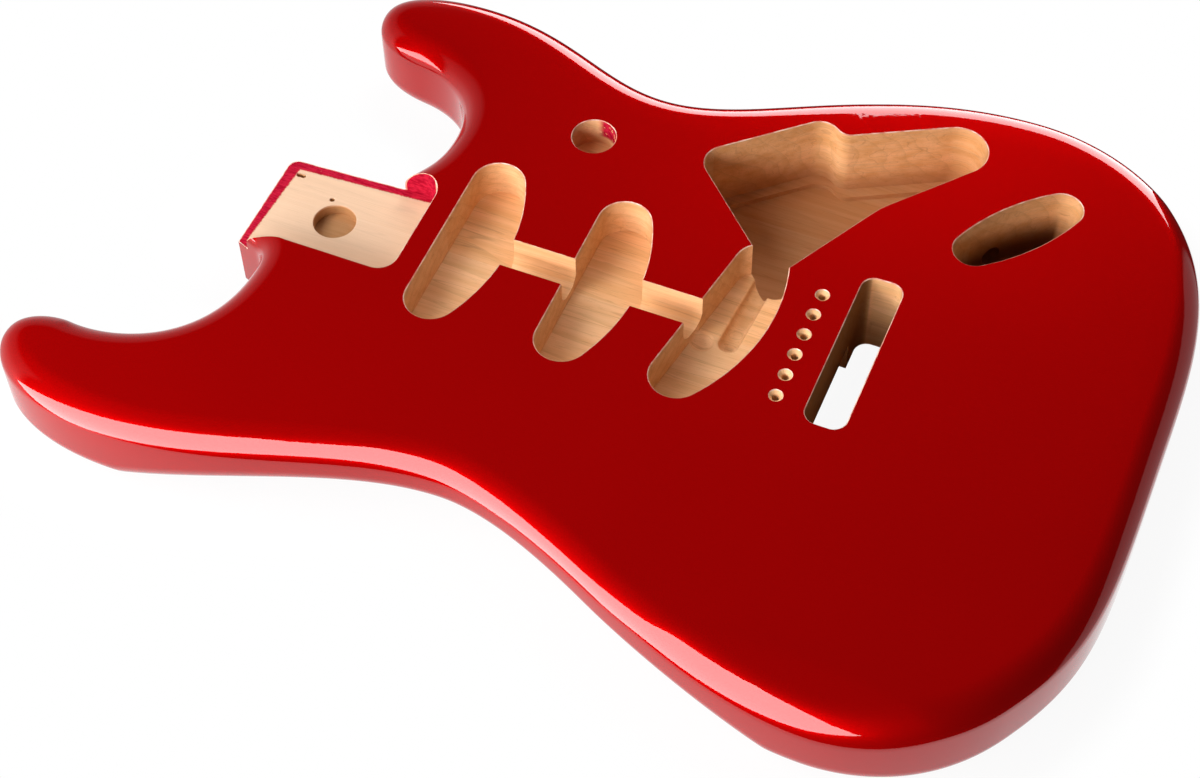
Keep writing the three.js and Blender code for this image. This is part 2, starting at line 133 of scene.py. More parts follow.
def inside(points, ring, margin):
    """Which points lie inside a closed ring, and further than a margin from its corners."""
    x, y = points[:, 0], points[:, 1]
    hit = np.zeros(len(points), bool)
    near = np.full(len(points), 1e9)
    for (x0, y0), (x1, y1) in zip(ring, np.roll(ring, -1, 0)):
        if y0 != y1:
            hit ^= ((y0 > y) != (y1 > y)) & (x < (x1 - x0) * (y - y0) / (y1 - y0) + x0)
        near = np.minimum(near, (x - x0) ** 2 + (y - y0) ** 2)
    return hit & (near > margin ** 2)


def cap(ring, r, sides):
    """Triangulation of one face inside its innermost ring, fine where a relief bends it."""
    low, high = ring.min(0), ring.max(0)
    flat = 0.004
    grid = []
    for spacing, keep in ((3.0, lambda d: d > flat), (9.0, lambda d: d <= flat)):
        gx, gy = np.meshgrid(np.arange(low[0], high[0], spacing), np.arange(low[1], high[1], spacing))
        pts = np.c_[gx.ravel(), gy.ravel()]
        pts[:, 0] += (np.round((pts[:, 1] - low[1]) / spacing) % 2) * spacing / 2
        pts = pts[keep(relief(pts, r))]
        grid.append(pts[inside(pts, ring, spacing * 0.55)])
    pts = np.vstack([ring, *grid])
    out = delaunay_2d_cdt([Vector(p) for p in pts], [], [list(range(len(ring)))], 1, 1e-5)
    xy = np.array([tuple(v) for v in out[0]])
    faces = [tuple(f) if sides > 0 else tuple(reversed(f)) for f in out[2]]
    return xy, faces, len(ring)


def blank(c):
    """The rounded and relieved blank, c inside the lacquer's surface, as points and faces."""
    p, n, back_r = outline()
    count = len(p)
    verts, faces, rings = [], [], []
    for side, r in ((1, ARM), (-1, BELLY)):
        radius = np.full(count, EDGE_R) if side > 0 else back_r
        these = []
        for k in range(RINGS + 1):
            a = math.pi / 2 * k / RINGS
            inset = c + (radius - c) * (1 - math.cos(a))
            drop = c + (radius - c) * (1 - math.sin(a))
            xy = p + n * inset[:, None]
            z = -relief(xy, r) - drop
            these.append(np.c_[xy, z if side > 0 else -THICK - z])
        rings.append(these)
    order = rings[0][::-1] + rings[1]
    for ring in order:
        verts.extend(ring)
    for k in range(len(order) - 1):
        for i in range(count):
            j = (i + 1) % count
            a, b = k * count, (k + 1) * count
            faces.append((a + i, b + i, b + j, a + j))
    for side, r, first in ((1, ARM, 0), (-1, BELLY, (len(order) - 1) * count)):
        ring = order[0 if side > 0 else -1][:, :2]
        xy, tris, m = cap(ring, r, side)
        z = -relief(xy, r) - c
        z = z if side > 0 else -THICK - z
        base = len(verts)
        index = [first + i for i in range(m)] + [base + i for i in range(len(xy) - m)]
        verts.extend(np.c_[xy[m:], z[m:]])
        faces.extend(tuple(index[i] for i in f) for f in tris)
    return np.array(verts), faces


def mesh_object(name, verts, faces, materials=()):
    mesh = bpy.data.meshes.new(name)
    verts = (np.asarray(verts, float) + SHIFT) * FIT * MM
    mesh.from_pydata(verts.tolist(), [], [tuple(int(i) for i in f) for f in faces])
    mesh.validate()
    for m in materials:
        mesh.materials.append(m)
    obj = bpy.data.objects.new(name, mesh)
    bpy.context.scene.collection.objects.link(obj)
    return obj


# ---------------------------------------------------------------- cutters
def arc(x, y, radius, start, turn, error=0.02):
    """Points along an arc, no further than error from the true one."""
    widest = min(math.radians(8), 2 * math.acos(1 - min(1, error / abs(radius))))
    steps = max(2, math.ceil(abs(turn) / widest))
    h = start + turn * np.arange(steps + 1) / steps
    return np.c_[x + radius * np.sin(h), y - radius * np.cos(h)]


def belt(rounds, grow=0.0):
    """Outline of a belt run anticlockwise about rounds; it bends inwards at a negative radius."""
    rounds = [(x, y, r + grow) for x, y, r in rounds]
    heads = []
    for i, (x, y, r) in enumerate(rounds):
        u, v, q = rounds[(i + 1) % len(rounds)]
        lean = max(-1, min(1, (r - q) / math.hypot(u - x, v - y)))
        heads.append(math.atan2(v - y, u - x) + math.asin(lean))
    out = []
    for i, (x, y, r) in enumerate(rounds):
        start = heads[i - 1]
        turn = (heads[i] - start) % (2 * math.pi)
        out.append(arc(x, y, r, start, turn - 2 * math.pi if r < 0 else turn))
    pts = np.vstack(out)
    keep = np.linalg.norm(pts - np.roll(pts, 1, 0), axis=1) > 1e-4
    return pts[keep]


def box_rounds(x0, x1, y0, y1, r, treble_r=None):
    """Corners of a box, those on the treble side with a radius of their own."""
    q = r if treble_r is None else treble_r
    return [(x0 + r, y0 + r, r), (x1 - r, y0 + r, r), (x1 - q, y1 - q, q), (x0 + q, y1 - q, q)]


def slot_rounds(half, end_r, bulge, both):
    """Slot along Y with bulging sides, or with one bulging and one straight side."""
    rise = bulge - end_r
    drop = (half ** 2 - rise ** 2) / (2 * rise)
    far = [(drop, 0, bulge + drop)] if both else []
    return [(0, -half, end_r), (-drop, 0, bulge + drop), (0, half, end_r)] + far


def turned(rounds, slant, x, y):
    """Rounds turned by slant degrees and moved to (x, y)."""
    c, s = math.cos(math.radians(slant)), math.sin(math.radians(slant))
    return [(x + c * u + s * v, y + c * v - s * u, r) for u, v, r in rounds]


def stack(name, levels):
    """Closed solid through outlines of equal length at rising heights: (outline, z) pairs."""
    count = len(levels[0][0])
    verts = np.vstack([np.c_[o, np.full(count, z)] for o, z in levels])
    last = (len(levels) - 1) * count
    faces = [tuple(range(count - 1, -1, -1)), tuple(range(last, last + count))]
    for k in range(len(levels) - 1):
        a, b = k * count, (k + 1) * count
        faces += [(a + i, a + (i + 1) % count, b + (i + 1) % count, b + i) for i in range(count)]
    return mesh_object(name, verts, faces)


def unit_rows(v):
    return v / np.linalg.norm(v, axis=1)[:, None]


def route(name, rounds, depth, flare=FLARE, low=None):
    """Route cut down from the front face, its lip eased by a small flare."""
    o = belt(rounds)
    f = belt(rounds, flare)
    if len(o) != len(f):
        before = unit_rows(o - np.roll(o, 1, 0))
        after = unit_rows(np.roll(o, -1, 0) - o)
        t = unit_rows(before + after)
        f = o + flare * np.c_[t[:, 1], -t[:, 0]]
    return stack(name, [(o, -depth if low is None else low), (o, -flare), (f, 0.0), (f, OVER)])


def circle(x, y, r, n=64):
    a = 2 * math.pi * np.arange(n) / n
    return np.c_[x + r * np.cos(a), y + r * np.sin(a)]


def bore(name, x, y, steps):
    """Round hole as (diameter, z) steps from its bottom up."""
    return stack(name, [(circle(x, y, d / 2), z) for d, z in steps])


def prism(name, profile, start, end, axis):
    """Profile swept between two distances along X or Y."""
    n = len(profile)
    put = (lambda u, v, t: (t, u, v)) if axis == "x" else (lambda u, v, t: (u, t, v))
    verts = [put(u, v, start) for u, v in profile] + [put(u, v, end) for u, v in profile]
    faces = [tuple(range(n - 1, -1, -1)), tuple(range(n, 2 * n))]
    faces += [(i, (i + 1) % n, n + (i + 1) % n, n + i) for i in range(n)]
    if axis == "y":
        faces = [tuple(reversed(f)) for f in faces]
    return mesh_object(name, verts, faces)


def pipe(name, start, end, diameter, n=32):
    """Round passage between two points."""
    start, end = np.array(start, float), np.array(end, float)
    w = (end - start) / np.linalg.norm(end - start)
    u = np.cross(w, (0, 0, 1))
    u /= np.linalg.norm(u)
    v = np.cross(w, u)
    ring = [diameter / 2 * (math.cos(a) * u + math.sin(a) * v) for a in 2 * math.pi * np.arange(n) / n]
    verts = [start + r for r in ring] + [end + r for r in ring]
    faces = [tuple(range(n - 1, -1, -1)), tuple(range(n, 2 * n))]
    faces += [(i, (i + 1) % n, n + (i + 1) % n, n + i) for i in range(n)]
    return mesh_object(name, verts, faces)


def trims(c):
    """What trims the heel square at the pocket's mouth, c inside the lacquer's surface."""
    m = MOUTH + c
    t = POCKET["high"] - HEEL_INSET - c
    r = HEEL_CORNER - c
    corner = arc(m + r, t - r, -r, math.pi / 2, -math.pi / 2)
    side = np.vstack([[(-LENGTH, -FAR), (m, -FAR)], corner, [(m + r, FAR), (-LENGTH, FAR)]])
    b = -THICK + c
    q = HEEL_R - c
    under = arc(m + q, b + q, -q, math.pi, -math.pi / 2)
    edge = np.vstack([[(m - OVER, b - OVER), (m + q, b - OVER)], under, [(m - OVER, b + q)]])
    return [
        stack("trim_side", [(side, -THICK - OVER), (side, OVER)]),
        prism("trim_edge", edge, -FAR, FAR, "y"),
    ]


def fix_normals(obj):
    """Outward faces, whatever way a cutter was wound."""
    bm = bmesh.new()
    bm.from_mesh(obj.data)
    bmesh.ops.recalc_face_normals(bm, faces=bm.faces)
    if bm.calc_volume(signed=True) < 0:
        bmesh.ops.reverse_faces(bm, faces=bm.faces)
    bm.to_mesh(obj.data)
    bm.free()


def combine(obj, others, operation="DIFFERENCE"):
    """Boolean of obj with each of the others, applied."""
    for other in others:
        mod = obj.modifiers.new("cut", "BOOLEAN")
        mod.operation = operation
        mod.solver = "MANIFOLD"
        mod.object = other
    graph = bpy.context.evaluated_depsgraph_get()
    mesh = bpy.data.meshes.new_from_object(obj.evaluated_get(graph))
    obj.modifiers.clear()
    old = obj.data
    obj.data = mesh
    bpy.data.meshes.remove(old)
    return obj


def copy_of(obj, name):
    new = obj.copy()
    new.data = obj.data.copy()
    new.name = name
    bpy.context.scene.collection.objects.link(new)
    return new


# The control cavity's belt, and the same moved off the treble wall, where a ledge is left
control = [(*on(-0.0511, 0.117), 5.5), (*on(0.0857, 0.1845), -40), (*on(0.0586, 0.3902), 13.5),
           (*on(-0.0447, 0.3813), -6.5), (*on(-0.0664, 0.3448), 9), (*on(-0.1362, 0.2533), 9.8)]
LEDGE = 5 * heading(-61)
past_ledge = [(x + LEDGE[0], y + LEDGE[1], r) for x, y, r in control]
pickup = slot_rounds(34.1, 11.6, 19.3, False)
# Name, slant in degrees and x of each pickup route
PICKUPS = (("neck_route", 0, -151), ("middle_route", 0, -91.7), ("bridge_route", 10, -35.1))
jack_at = on(0.14, 0.2871)
jack = turned(slot_rounds(22.6, 9, 12.1, True), 38.7, *jack_at)
channel = belt([(-1.5, -8.6, 6), (1.5, -8.6, 6), (1.5, 4, 6), (-1.5, 4, 6)])
hole = on(-0.2647, 0.2309)
SCREW_SPREAD = 56.36
SCREW_STEPS = [(1.2, -22), (3.2, -20.5), (3.2, -1.7), (5.9, -0.25), (6.3, 0.0), (6.3, 2)]


def capsule(a, b, r, n=20):
    """Outline of a round-ended slot between two points."""
    a, b = np.array(a), np.array(b)
    head = math.atan2(*(b - a)[::-1])
    turn = np.linspace(-math.pi / 2, math.pi / 2, n)
    ends = [(b, head + turn), (a, head + math.pi + turn)]
    return np.vstack([np.c_[c[0] + r * np.cos(t), c[1] + r * np.sin(t)] for c, t in ends])


def trough():
    """Round-bottomed trough with eased edges, from the bridge route's floor into the control cavity."""
    k, top = TROUGH, -PICKUP_DEPTH
    r, e, bottom = k["radius"], k["eased"], k["bottom"]
    levels = [(SLIVER + (r - SLIVER) * math.sin(t), bottom + (top - e - bottom) * (1 - math.cos(t)))
              for t in np.radians(np.linspace(0, 90, 10))]
    levels += [(r + e * (1 - math.cos(t)), top - e + e * math.sin(t))
               for t in np.radians((22.5, 45, 67.5, 90))]
    levels.append((r + e, top + OVER))
    return stack("trough", [(capsule(k["start"], k["end"], w), z) for w, z in levels])


def dimple():
    """Mark of the ball-nosed cutter where the wire channel ends."""
    k, top = DIMPLE, -PICKUP_DEPTH
    full = math.acos(1 - (top - k["bottom"]) / k["ball"])
    levels = [(SLIVER + k["ball"] * math.sin(t), k["bottom"] + k["ball"] * (1 - math.cos(t)))
              for t in np.linspace(0, full, 9)]
    levels.append((levels[-1][0] + 0.3, top + 0.3))
    levels.append((levels[-1][0], top + OVER))
    return stack("dimple", [(circle(*k["at"], w), z) for w, z in levels])


def cavity_cutters():
    """Every pocket, route, passage and hole, ready to take away."""
    pk = POCKET
    pocket = box_rounds(MOUTH - FAR, pk["end"], pk["low"], pk["high"], pk["bass_r"], pk["treble_r"])
    cuts = [
        route("pocket", pocket, pk["depth"]),
        route("pin_slot", [(-241.7, 18.2, 1.2), (-239.5, 18.2, 1.2)], 18.6),
        bore("jig_hole", -214.8, -0.3, [(19, -21.9), (19, -16.1), (19.4, -15.9), (19.4, 2)]),
        bore("pin_hole", -221.4, 10.5, [(2.4, -19.9), (2.4, 2)]),
        *(route(name, turned(pickup, slant, x, 0), PICKUP_DEPTH) for name, slant, x in PICKUPS),
        trough(),
        dimple(),
        prism("channel", channel, PICKUPS[0][2], PICKUPS[2][2], "x"),
        route("control_high", control, 35.5),
        route("jack", jack, 34),
        pipe("jack_passage", (*on(0.0516, 0.3531), -28.5), (*jack_at, -28.5), 9.5),
        pipe("ground_passage", (*on(-0.0511, 0.117), -33.3), (-23.79, 22.6, -33.3), 4),
        bore("blind_hole", *hole, [(19.6, -14), (19.6, -0.3), (20.2, 0), (20.2, 2)]),
        route("slot", box_rounds(13.3, 31.1, -35.6, 45, 6), 0, low=-THICK - OVER),
    ]
    # the control cavity's floor, below its ledge
    deep = route("control_deep", past_ledge, 38, flare=0.01)
    within = belt(control, -0.001)
    clip = stack("control_clip", [(within, -38), (within, -30)])
    fix_normals(deep)
    fix_normals(clip)
    cuts.append(combine(deep, [clip], "INTERSECT"))
    bpy.data.objects.remove(clip)
    # the block slot's wider back and the spring cavity
    for name, box, depth in (("slot_back", (13.3, 40.1, -35.6, 45), 31),
                             ("spring", (-68.9, 31.1, -28.6, 28.6), 16)):
        ring = belt(box_rounds(*box, 6))
        cuts.append(stack(name, [(ring, -THICK - OVER), (ring, -THICK + depth)]))
    for i in range(6):
        cuts.append(bore("screw", 0, SCREW_SPREAD * (i / 5 - 0.5), SCREW_STEPS))
    for c in cuts:
        fix_normals(c)
    return cuts


# ---------------------------------------------------------------- materials
def add(tree, kind, inputs=None, **props):
    n = tree.nodes.new(kind)
    for k, v in props.items():
        setattr(n, k, v)
    for k, v in (inputs or {}).items():
        link_or_set(tree, v, n.inputs[k])
    return n


def link_or_set(tree, value, socket):
    if isinstance(value, bpy.types.NodeSocket):
        tree.links.new(value, socket)
    else:
        socket.default_value = value


def calc(tree, op, a, b=0.0, c=0.0):
    return add(tree, "ShaderNodeMath", {0: a, 1: b, 2: c}, operation=op).outputs[0]


def product(tree, first, *others):
    for other in others:
        first = calc(tree, "MULTIPLY", first, other)
    return first


def squared_distance(tree, x, y, at):
    """Square of the distance of (x, y) from a fixed place."""
    dx, dy = calc(tree, "SUBTRACT", x, at[0]), calc(tree, "SUBTRACT", y, at[1])
    return calc(tree, "ADD", calc(tree, "POWER", dx, 2.0), calc(tree, "POWER", dy, 2.0))


def blend(tree, factor, a, b):
    n = add(tree, "ShaderNodeMix", data_type="RGBA")
    for key, v in (("Factor_Float", factor), ("A_Color", a), ("B_Color", b)):
        link_or_set(tree, v, next(i for i in n.inputs if i.identifier == key))
    return next(o for o in n.outputs if o.identifier == "Result_Color")


def tint(tree, colour, share, strength, toward):
    """Colour taken towards another by strength where share is 1."""
    return blend(tree, calc(tree, "MULTIPLY", share, strength), colour, toward)


def rise(tree, value, low, high):
    """0 below low, 1 above high, smooth between."""
    n = add(tree, "ShaderNodeMapRange", {"Value": value, "From Min": low, "From Max": high},
            interpolation_type="SMOOTHSTEP")
    return n.outputs["Result"]


def noise(tree, vector, scale, detail=3.0, rough=0.5):
    inputs = {"Vector": vector, "Scale": scale, "Detail": detail, "Roughness": rough}
    return add(tree, "ShaderNodeTexNoise", inputs).outputs["Fac"]


def place_mm(tree):
    """Place in millimetres, in the outline's own frame: as a vector, x, y and z."""
    v = add(tree, "ShaderNodeTexCoord").outputs["Object"]
    for other, operation in (((1000, 1000, 1000), "MULTIPLY"), (tuple(SHIFT), "SUBTRACT")):
        v = add(tree, "ShaderNodeVectorMath", {0: v, 1: other}, operation=operation).outputs[0]
    split = add(tree, "ShaderNodeSeparateXYZ", {0: v})
    return v, *split.outputs[:3]


def stretched(tree, vector, sx, sy, sz, shift=(0, 0, 0)):
    inputs = {0: vector, 1: (sx, sy, sz), 2: shift}
    return add(tree, "ShaderNodeVectorMath", inputs, operation="MULTIPLY_ADD").outputs[0]


def new_material(name):
    m = bpy.data.materials.new(name)
    m.use_nodes = True
    t = m.node_tree
    t.nodes.clear()
    out = add(t, "ShaderNodeOutputMaterial")
    p = add(t, "ShaderNodeBsdfPrincipled")
    t.links.new(p.outputs[0], out.inputs[0])
    return m, t, p


def set_inputs(shader, values):
    for key, value in values.items():
        shader.inputs[key].default_value = value


# Linear colours
CANDY = (0.35, 0.0, 0.0, 1), (0.39, 0.0, 0.0, 1)
FLAKE = (0.52, 0.0, 0.002, 1)
CUT_LACQUER = (0.72, 0.25, 0.18, 1), (0.92, 0.62, 0.50, 1)
LATE_WOOD = (0.50, 0.25, 0.09, 1)
FIBRE = (0.56, 0.29, 0.11, 1)
PORE = (0.36, 0.16, 0.05, 1)
THREAD = (0.44, 0.20, 0.08, 1)
END_GRAIN = (0.44, 0.22, 0.09, 1)
CUTTER_LINE = (0.60, 0.36, 0.19, 1)
# painted shade, darker deep down in the cavities
DEPTH_SHADE = (0.42, 0.17, 0.07, 1)
# painted shade on the block slot's wall
SLOT_WALL_SHADE = (0.14, 0.05, 0.015, 1)
# painted shade in the jack cavity
JACK_SHADE = (0.10, 0.02, 0.006, 1)
# painted shade in the neck pocket's holes
POCKET_HOLE_SHADE = (0.42, 0.20, 0.08, 1)
SANDED = (0.73, 0.525, 0.39, 1)
MIST = (0.34, 0.004, 0.02, 1), (0.54, 0.015, 0.045, 1)
PAPER = (0.83, 0.83, 0.83, 1), (0.86, 0.86, 0.86, 1)
SHADOW_SHARE = 0.07  # of the floor's colour beside the object, the rest is plain white
SHEET_REACH = 0.036  # metres that the floor reaches past the outline
RING_WIDTH = 5.5  # between growth rings
POCKET_X = -171.5  # the neck pocket lies below this x


def lacquer():
    m, t, p = new_material("candy_lacquer")
    v = place_mm(t)[0]
    col = blend(t, noise(t, v, 0.012, 2.0), *CANDY)
    col = tint(t, col, noise(t, v, 3.0, 2.0, 0.7), 0.2, FLAKE)
    t.links.new(col, p.inputs["Base Color"])
    set_inputs(p, {"Metallic": 0.38, "Roughness": 0.32, "Specular IOR Level": 0.0,
                   "Specular Tint": (1.0, 0.05, 0.06, 1),
                   "Coat Weight": 1.0, "Coat Roughness": 0.02, "Coat IOR": 1.5})
    orange_peel = {"Height": noise(t, v, 0.35, 2.0), "Strength": 0.015, "Distance": 0.001}
    t.links.new(add(t, "ShaderNodeBump", orange_peel).outputs[0], p.inputs["Coat Normal"])
    return m


def lacquer_edge():
    m, t, p = new_material("lacquer_cut_edge")
    patches = noise(t, place_mm(t)[0], 0.25, 3.0)
    t.links.new(blend(t, rise(t, patches, 0.35, 0.65), *CUT_LACQUER), p.inputs["Base Color"])
    set_inputs(p, {"Roughness": 0.35, "Coat Weight": 0.6})
    return m


def bare_grain(t, v, x, y, z, seed, pale, dark):
    """Colour of the plain board: growth rings, streaks, fibres, pores and thin lines."""
    # rings about a heart outside the board, bent by slow noise
    slow = noise(t, stretched(t, v, 0.006, 0.03, 0.03, (seed, seed * 2, 0)), 1.0, 2.0)
    bent = calc(t, "MULTIPLY_ADD", slow, 26.0, calc(t, "MULTIPLY", x, 0.035))
    u = calc(t, "ADD", calc(t, "SUBTRACT", y, 30.0 * math.sin(seed)), bent)
    w = calc(t, "ADD", z, 70.0 + 15 * math.cos(seed))
    r = calc(t, "SQRT", calc(t, "ADD", product(t, u, u), product(t, w, w)))
    late = calc(t, "POWER", calc(t, "FRACT", calc(t, "MULTIPLY", r, 1 / RING_WIDTH)), 5.0)
    fibre = noise(t, stretched(t, v, 0.02, 1.4, 1.4, (seed, 0, 0)), 1.0, 4.0, 0.6)
    streak = noise(t, stretched(t, v, 0.008, 0.25, 0.25, (0, seed, 0)), 1.0, 3.0, 0.5)
    pore = noise(t, stretched(t, v, 0.12, 3.2, 3.2, (0, 0, seed)), 1.0, 1.0, 0.5)
    band = noise(t, stretched(t, v, 0.004, 0.11, 0.11, (seed * 3, 0, seed)), 1.0, 2.0, 0.4)
    off = calc(t, "SUBTRACT", calc(t, "FRACT", calc(t, "MULTIPLY", band, 6.0)), 0.5)
    thread = rise(t, calc(t, "ABSOLUTE", off), 0.05, 0.0)
    col = blend(t, rise(t, streak, 0.3, 0.75), pale, dark)
    col = tint(t, col, late, 0.28, LATE_WOOD)
    col = tint(t, col, rise(t, fibre, 0.45, 0.8), 0.25, FIBRE)
    col = tint(t, col, rise(t, pore, 0.62, 0.72), 0.30, PORE)
    return tint(t, col, thread, 0.35, THREAD)


def mist(t, v, x, y, z):
    """Where the spray gun left red: on the pocket's mouth and rim and in the blind hole."""
    coarse = noise(t, v, 0.35, 4.0, 0.65)
    fine = noise(t, v, 1.1, 3.0, 0.6)
    # the mouth's strip widens at the bass corner
    edge_x = calc(t, "MULTIPLY_ADD", y, 0.057, calc(t, "MULTIPLY_ADD", fine, 1.6, -244.6))
    corner = rise(t, y, -24.5, -28.0)
    edge_x = calc(t, "MULTIPLY_ADD", corner, 12.0, edge_x)
    mouth = rise(t, calc(t, "SUBTRACT", edge_x, x), -0.4, 0.5)
    edge_y = calc(t, "MULTIPLY_ADD", x, 0.059, calc(t, "MULTIPLY_ADD", fine, -1.0, 36.0))
    rim = rise(t, calc(t, "SUBTRACT", y, edge_y), -0.4, 0.4)
    rim = product(t, rim, rise(t, x, -172.6, -173.6))
    in_hole = rise(t, squared_distance(t, x, y, hole), 130.0, 120.0)
    right = rise(t, calc(t, "SUBTRACT", x, hole[0]), -2.5, 1.0)
    patch = product(t, rise(t, coarse, 0.38, 0.44), in_hole, right, rise(t, z, -11.0, -9.0))
    spray = calc(t, "MAXIMUM", calc(t, "MAXIMUM", mouth, rim), patch)
    return product(t, spray, rise(t, fine, 0.18, 0.30))


def wood(name, seed, pale, dark):
    """One board's wood, with what the cutters, the sanding and the spray gun did to it, and painted
    shade deep down, on the block slot's wall, in the jack cavity and in the pocket's holes.
    """
    m, t, p = new_material(name)
    v, x, y, z = place_mm(t)
    normal = add(t, "ShaderNodeNewGeometry").outputs["Normal"]
    facing_x, _, facing_z = add(t, "ShaderNodeSeparateXYZ", {0: normal}).outputs[:3]
    col = bare_grain(t, v, x, y, z, seed, pale, dark)

    # end grain where a wall runs across the board, and cutter lines round every wall
    across = rise(t, calc(t, "ABSOLUTE", facing_x), 0.55, 0.95)
    col = tint(t, col, across, 0.35, END_GRAIN)
    wall = rise(t, calc(t, "ABSOLUTE", facing_z), 0.6, 0.3)
    lines = noise(t, stretched(t, v, 0.02, 0.02, 2.6), 1.0, 2.0, 0.6)
    col = tint(t, col, product(t, wall, rise(t, lines, 0.5, 0.7)), 0.4, CUTTER_LINE)

    # painted shade: darker wood deep down, on the block slot's wall that faces +X and in the jack
    # cavity
    col = tint(t, col, rise(t, z, -21.0, -35.0), 0.6, DEPTH_SHADE)
    near_slot_end = rise(t, calc(t, "ABSOLUTE", calc(t, "SUBTRACT", x, 14.0)), 3.0, 2.0)
    along_slot = rise(t, calc(t, "ABSOLUTE", y), 50.0, 48.0)
    shaded_slot_wall = product(t, near_slot_end, rise(t, facing_x, 0.2, 0.8), along_slot)
    col = tint(t, col, shaded_slot_wall, 0.8, SLOT_WALL_SHADE)
    near_jack = rise(t, squared_distance(t, x, y, jack_at), 900.0, 800.0)
    jack_shade_mask = product(t, near_jack, rise(t, z, -10.0, -30.0))
    col = tint(t, col, jack_shade_mask, 0.9, JACK_SHADE)

    # the neck pocket: painted shade in its holes below the floor, and a floor sanded paler and plainer
    in_pocket = rise(t, x, POCKET_X, POCKET_X - 1.0)
    col = tint(t, col, product(t, in_pocket, rise(t, z, -16.2, -17.5)), 0.75, POCKET_HOLE_SHADE)
    col = tint(t, col, product(t, in_pocket, rise(t, z, -17.0, -16.2)), 0.72, SANDED)

    spray = mist(t, v, x, y, z)
    brushed = noise(t, stretched(t, v, 0.25, 1.6, 0.6), 1.0, 3.0, 0.6)
    col = blend(t, spray, col, blend(t, rise(t, brushed, 0.35, 0.65), *MIST))
    t.links.new(col, p.inputs["Base Color"])
    t.links.new(calc(t, "MULTIPLY_ADD", spray, -0.25, 0.62), p.inputs["Roughness"])
    set_inputs(p, {"Specular IOR Level": 0.0})
    milling = noise(t, stretched(t, v, 0.05, 2.2, 2.2), 1.0, 3.0)
    bump = add(t, "ShaderNodeBump", {"Height": milling, "Strength": 0.25, "Distance": 0.0003})
    t.links.new(bump.outputs[0], p.inputs["Normal"])
    return m


def reflected(tree, path):
    """1 for light that comes by a mirror or through glass."""
    return calc(tree, "MAXIMUM", path.outputs["Is Glossy Ray"], path.outputs["Is Transmission Ray"])


def pale_floor():
    """White sheet: it keeps the object's shadow, and shows white to the camera and in the lacquer."""
    m = bpy.data.materials.new("pale_floor")
    m.use_nodes = True
    t = m.node_tree
    t.nodes.clear()
    away = add(t, "ShaderNodeAttribute", attribute_name="away").outputs["Fac"]
    col = blend(t, noise(t, place_mm(t)[0], 0.004, 2.0), *PAPER)
    paper = add(t, "ShaderNodeBsdfDiffuse", {"Color": col})
    white = add(t, "ShaderNodeEmission", {"Strength": 1.0})
    path = add(t, "ShaderNodeLightPath")
    seen = calc(t, "MAXIMUM", path.outputs["Is Camera Ray"], reflected(t, path))
    faded = rise(t, away, 0.010, 0.030)
    share = calc(t, "MULTIPLY_ADD", faded, SHADOW_SHARE, 1.0 - SHADOW_SHARE)
    lit = {0: product(t, seen, share), 1: paper.outputs[0], 2: white.outputs[0]}
    sheet = add(t, "ShaderNodeMixShader", lit)
    clear = add(t, "ShaderNodeBsdfTransparent")
    end = rise(t, away, SHEET_REACH - 0.002, SHEET_REACH)
    whole = add(t, "ShaderNodeMixShader", {0: end, 1: sheet.outputs[0], 2: clear.outputs[0]})
    out = add(t, "ShaderNodeOutputMaterial")
    t.links.new(whole.outputs[0], out.inputs[0])
    return m


# ---------------------------------------------------------------- build the pieces
def coat_normals(obj, tree, normals_there, faces_there, verts_there):
    """Smooth normals of the unbroken blank on the skin, plain ones on the cut edges."""
    mesh = obj.data
    mesh.shade_smooth()
    mesh.set_sharp_from_angle(angle=math.radians(28))
    normals = np.empty(len(mesh.loops) * 3)
    mesh.corner_normals.foreach_get("vector", normals)
    normals = normals.reshape(-1, 3)
    for poly in mesh.polygons:
        at, n, index, off = tree.find_nearest(poly.center)
        if off > TOUCH or n.dot(poly.normal) < 0.9:
            poly.material_index = 0 if on_heel_end(poly) else 1
            continue
        for loop in poly.loop_indices:
            p = mesh.vertices[mesh.loops[loop].vertex_index].co
            at, n, index, off = tree.find_nearest(p)
            if off > TOUCH:
                continue
            face = list(faces_there[index])
            nearness = 1 / (np.linalg.norm(verts_there[face] - np.array(at), axis=1) + 1e-7)
            mean = (normals_there[face] * nearness[:, None]).sum(0)
            length = np.linalg.norm(mean)
            if length > 0 and float(np.dot(mean / length, poly.normal)) > 0.8:
                normals[loop] = mean / length
    mesh.normals_split_custom_set(normals.tolist())


def on_heel_end(poly):
    """Whether a face off the blank is the heel's trimmed end, painted like the rest."""
    pocket_floor = (THICK - POCKET["depth"]) * MM
    x, _, z = poly.center
    return abs(poly.normal.z) < 0.5 and x < -0.12 and 0.0005 < z < pocket_floor - 0.0001


# The lacquer is one skin over the whole blank, and its normals are read off the blank before the cuts
outer = mesh_object("finish_coat", *blank(0.0))
ref_mesh = outer.data
ref_verts = np.array([tuple(v.co) for v in ref_mesh.vertices])
ref_faces = [tuple(p.vertices) for p in ref_mesh.polygons]
ref_normals = np.empty(len(ref_mesh.vertices) * 3)
ref_mesh.vertex_normals.foreach_get("vector", ref_normals)
ref_normals = ref_normals.reshape(-1, 3)
ref_tree = BVHTree.FromPolygons([Vector(v) for v in ref_verts], ref_faces)

inner = mesh_object("wood", *blank(COAT))
cuts = cavity_cutters()
outer_trims, inner_trims = trims(0.0), trims(COAT)
for c in outer_trims + inner_trims:
    fix_normals(c)
combine(inner, inner_trims)
shell_core = copy_of(inner, "shell_core")
combine(outer, outer_trims + [shell_core] + cuts)
combine(inner, cuts)
bpy.data.objects.remove(shell_core)

outer.data.materials.clear()
outer.data.materials.append(lacquer())
outer.data.materials.append(lacquer_edge())
coat_normals(outer, ref_tree, ref_normals, ref_faces, ref_verts)

